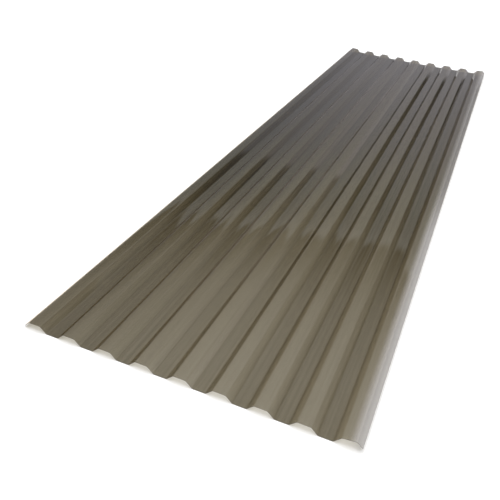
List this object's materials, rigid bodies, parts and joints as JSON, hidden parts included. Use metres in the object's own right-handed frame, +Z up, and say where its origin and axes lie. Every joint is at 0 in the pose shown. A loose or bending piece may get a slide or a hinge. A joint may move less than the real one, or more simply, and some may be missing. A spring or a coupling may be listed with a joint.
{
  "type": "corrugated polycarbonate roofing sheet",
  "caption": "Thin smoke-tinted translucent sheet with low trapezoidal waves along its length, laid over purlins as a roof or wall panel.",
  "frame": {"origin": "middle of the sheet's length and width, on the underside of the valleys, the plane it lies on", "axes": "+Y along the waves, the length of the sheet; +X across the waves; +Z up out of the crowns"},
  "size_m": [0.656, 2.4384, 0.0135],
  "materials": {
    "sheet": "gloss"
  },
  "bodies": {
    "root": {"corrugated_sheet": "sheet"}
  },
  "joints": []
}
